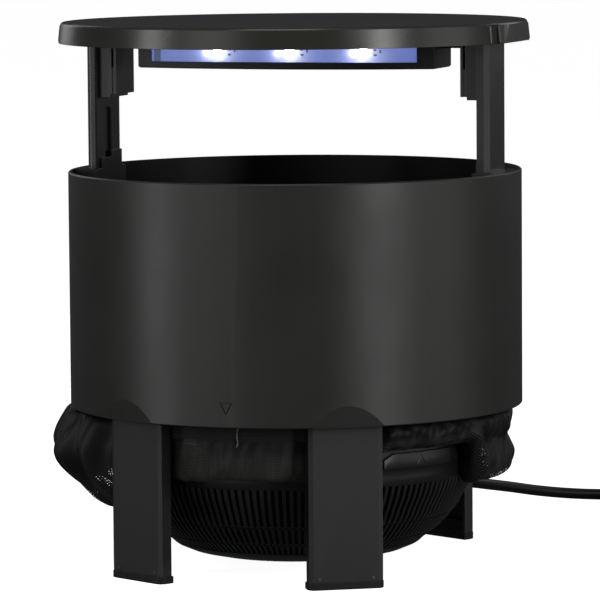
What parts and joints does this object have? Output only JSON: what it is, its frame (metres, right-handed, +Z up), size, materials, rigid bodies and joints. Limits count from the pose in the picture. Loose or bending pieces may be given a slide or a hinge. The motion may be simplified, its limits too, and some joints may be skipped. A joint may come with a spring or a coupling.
{
  "type": "insect trap",
  "caption": "Round fan-suction insect trap on four legs, with an ultraviolet lamp under a sliding roof, a gathered net and a twist-off catch tray.",
  "frame": {"origin": "on the floor under the drum's vertical axis", "axes": "+Z up; the front, with the engraved triangle, faces -Y; +X to the right seen from the front"},
  "size_m": [0.4426, 0.482, 0.3459],
  "materials": {
    "drum_plastic": "fine texture",
    "roof_plastic": "satin",
    "frame_plastic": "satin",
    "leg_plastic": "fine texture",
    "tray_plastic": "satin",
    "impeller_plastic": "polished",
    "foot_rubber": "matte",
    "window_clear": "clear",
    "board_white": "solder mask",
    "board_green": "solder mask",
    "led_lens": "lens",
    "steel_screw": "zinc plated",
    "motor_steel": "drawn can",
    "net_mesh": "fine knitted mesh",
    "thread_grey": "twisted thread",
    "cord_sheath": "flexible sheath",
    "pin_brass": "plated"
  },
  "bodies": {
    "base": {"drum_shell": "drum_plastic", "lower_deck": "frame_plastic", "inlet_funnel": "frame_plastic", "fan_guard": "frame_plastic", "motor_spider": "frame_plastic", "motor": "motor_steel", "driver_board": "board_green", "driver_cover": "frame_plastic", "net_collar": "frame_plastic", "bayonet_ring": "frame_plastic", "net": "net_mesh", "drawstring": "thread_grey", "leg_front_right": "leg_plastic", "leg_back_right": "leg_plastic", "leg_back_left": "leg_plastic", "leg_front_left": "leg_plastic", "foot_front_right": "foot_rubber", "foot_back_right": "foot_rubber", "foot_back_left": "foot_rubber", "foot_front_left": "foot_rubber", "post_guide_left": "frame_plastic", "post_guide_right": "frame_plastic", "leg_screws": "steel_screw", "foot_pegs": "steel_screw", "funnel_screws": "steel_screw", "spider_screws": "steel_screw", "driver_screws": "steel_screw", "cord_gland": "cord_sheath", "power_cord": "cord_sheath", "cord_coil": "cord_sheath", "cord_tail": "cord_sheath", "coil_ties": "cord_sheath", "plug_body": "cord_sheath", "plug_pins": "pin_brass"},
    "roof": {"roof_cover": "roof_plastic", "roof_underplate": "frame_plastic", "post_left": "roof_plastic", "post_right": "roof_plastic", "bracket_left": "frame_plastic", "bracket_right": "frame_plastic", "lamp_housing": "frame_plastic", "lamp_spine": "frame_plastic", "window_front": "window_clear", "window_back": "window_clear", "led_board_front": "board_white", "led_board_back": "board_white", "leds_front": "led_lens", "leds_back": "led_lens", "wire_duct": "frame_plastic", "roof_screws": "steel_screw", "lamp_screws": "steel_screw"},
    "fan": {"impeller": "impeller_plastic", "fan_shaft": "steel_screw"},
    "tray": {"catch_tray": "tray_plastic"}
  },
  "joints": [
    {"name": "roof_slide", "type": "slide", "parent": "base", "child": "roof", "axis": [0, 0, 1], "range_m": [-0.034, 0]},
    {"name": "fan_spin", "type": "hinge", "parent": "base", "child": "fan", "pos_m": [0, 0, 0.12], "axis": [0, 0, 1], "continuous": true},
    {"name": "tray_twist", "type": "hinge", "parent": "base", "child": "tray", "pos_m": [0, 0, 0.05], "axis": [0, 0, 1], "range_deg": [-58, 0]}
  ]
}
